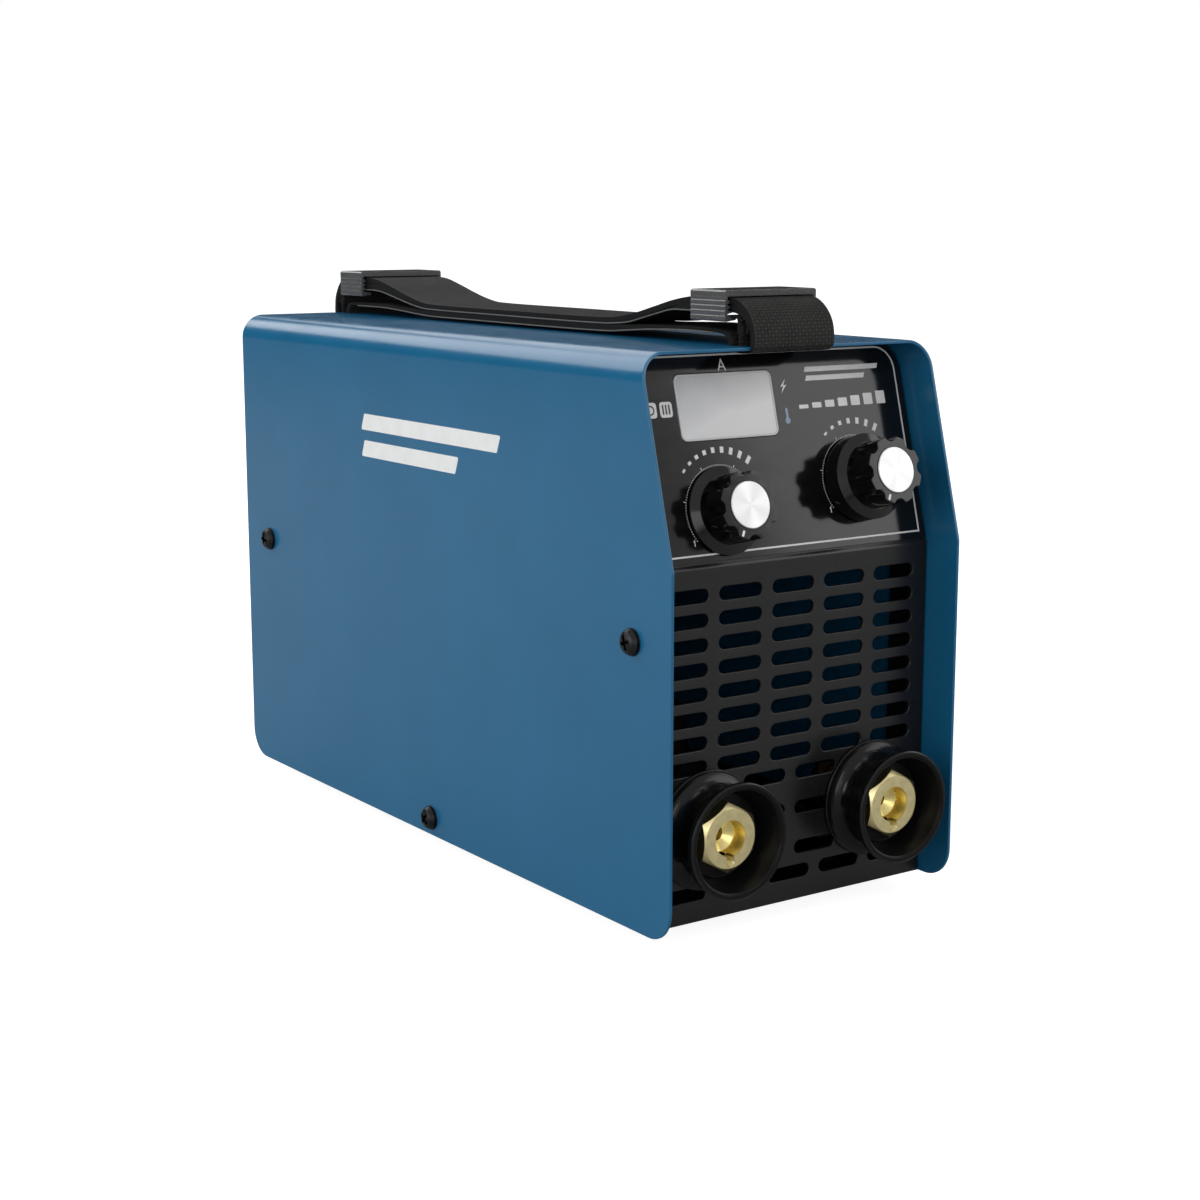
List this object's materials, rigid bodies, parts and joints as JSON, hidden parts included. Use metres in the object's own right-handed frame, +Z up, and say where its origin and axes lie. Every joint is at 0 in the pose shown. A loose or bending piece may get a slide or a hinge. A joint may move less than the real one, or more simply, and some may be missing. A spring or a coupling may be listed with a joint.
{
  "type": "arc welding machine",
  "caption": "Portable inverter arc welding machine: folded blue cover, sloped control panel with knobs and display, slotted grille, brass bayonet output sockets, webbing carrying strap.",
  "frame": {"origin": "middle of the whole object's footprint, on the floor under the rubber feet", "axes": "+Z up, -Y out of the control side, +X to the right when facing the control side"},
  "size_m": [0.137, 0.326, 0.225],
  "materials": {
    "cover_paint": "satin blue powder coat on steel sheet",
    "black_steel": "satin black powder coat",
    "panel_plastic": "fine satin black",
    "overlay_film": "glossy black printed film",
    "display_window": "silver grey, unlit, with a pale rim",
    "module_plastic": "moulded black",
    "circuit_board": "green solder mask",
    "steel": "zinc plated",
    "knob_plastic": "glossy black",
    "spun_aluminium": "spun, with circular grain",
    "socket_plastic": "glossy black",
    "brass": "machined",
    "copper": "bare copper bar",
    "webbing": "black polypropylene webbing, plain weave",
    "smoke_plastic": "smoky translucent",
    "fan_plastic": "moulded black",
    "rocker_red": "red",
    "aluminium": "extruded",
    "ferrite": "dark grey ferrite",
    "winding_tape": "amber polyester tape over the winding",
    "copper_winding": "enamelled copper wire",
    "capacitor_sleeve": "dark sleeve",
    "screw_black": "black oxide",
    "foot_rubber": "black"
  },
  "bodies": {
    "case": {"case_cover": "cover_paint", "base_chassis": "black_steel", "rear_panel": "black_steel", "fan_guard": "black_steel", "front_panel": "panel_plastic", "control_overlay": "overlay_film", "display_window": "display_window", "display_module": "module_plastic", "control_board": "circuit_board", "power_board": "circuit_board", "arc_force_potentiometer": "steel", "current_potentiometer": "steel", "negative_socket_collar": "socket_plastic", "positive_socket_collar": "socket_plastic", "negative_socket_insert": "brass", "positive_socket_insert": "brass", "negative_socket_nut": "steel", "positive_socket_nut": "steel", "negative_busbar": "copper", "positive_busbar": "copper", "strap_webbing": "webbing", "strap_clip_front": "smoke_plastic", "strap_clip_rear": "smoke_plastic", "fan_frame": "fan_plastic", "power_switch_housing": "module_plastic", "mains_inlet": "module_plastic", "earth_bolt": "steel", "rectifier_heat_sink": "aluminium", "switch_heat_sink": "aluminium", "transformer_core": "ferrite", "transformer_winding": "winding_tape", "output_choke": "copper_winding", "bulk_capacitor_1": "capacitor_sleeve", "bulk_capacitor_2": "capacitor_sleeve", "bulk_capacitor_3": "capacitor_sleeve", "bridge_rectifier": "module_plastic", "soft_start_relay": "module_plastic", "mains_filter_choke": "ferrite", "side_screw_left_front": "screw_black", "side_screw_left_middle": "screw_black", "side_screw_left_rear": "screw_black", "side_screw_right_front": "screw_black", "side_screw_right_middle": "screw_black", "side_screw_right_rear": "screw_black", "fan_screw_right_low": "screw_black", "fan_screw_right_high": "screw_black", "fan_screw_left_low": "screw_black", "fan_screw_left_high": "screw_black", "foot_front_left": "foot_rubber", "foot_rear_left": "foot_rubber", "foot_front_right": "foot_rubber", "foot_rear_right": "foot_rubber"},
    "arc_force_dial": {"arc_force_knob": "knob_plastic", "arc_force_cap": "spun_aluminium", "arc_force_shaft": "steel"},
    "current_dial": {"current_knob": "knob_plastic", "current_cap": "spun_aluminium", "current_shaft": "steel"},
    "fan_wheel": {"fan_rotor": "fan_plastic"},
    "power_rocker": {"power_switch_rocker": "rocker_red"}
  },
  "joints": [
    {"name": "arc_force_turn", "type": "hinge", "parent": "case", "child": "arc_force_dial", "pos_m": [-0.0279, -0.13964, 0.15019], "axis": [0, 0.9659, -0.2588], "range_deg": [0, 270]},
    {"name": "current_turn", "type": "hinge", "parent": "case", "child": "current_dial", "pos_m": [0.0343, -0.13791, 0.15666], "axis": [0, 0.9659, -0.2588], "range_deg": [0, 270]},
    {"name": "fan_spin", "type": "hinge", "parent": "case", "child": "fan_wheel", "pos_m": [0, 0.13265, 0.078], "axis": [0, 1, 0], "continuous": true},
    {"name": "power_switch", "type": "hinge", "parent": "case", "child": "power_rocker", "pos_m": [-0.03, 0.14815, 0.166], "axis": [1, 0, 0], "range_deg": [0, 20]}
  ]
}
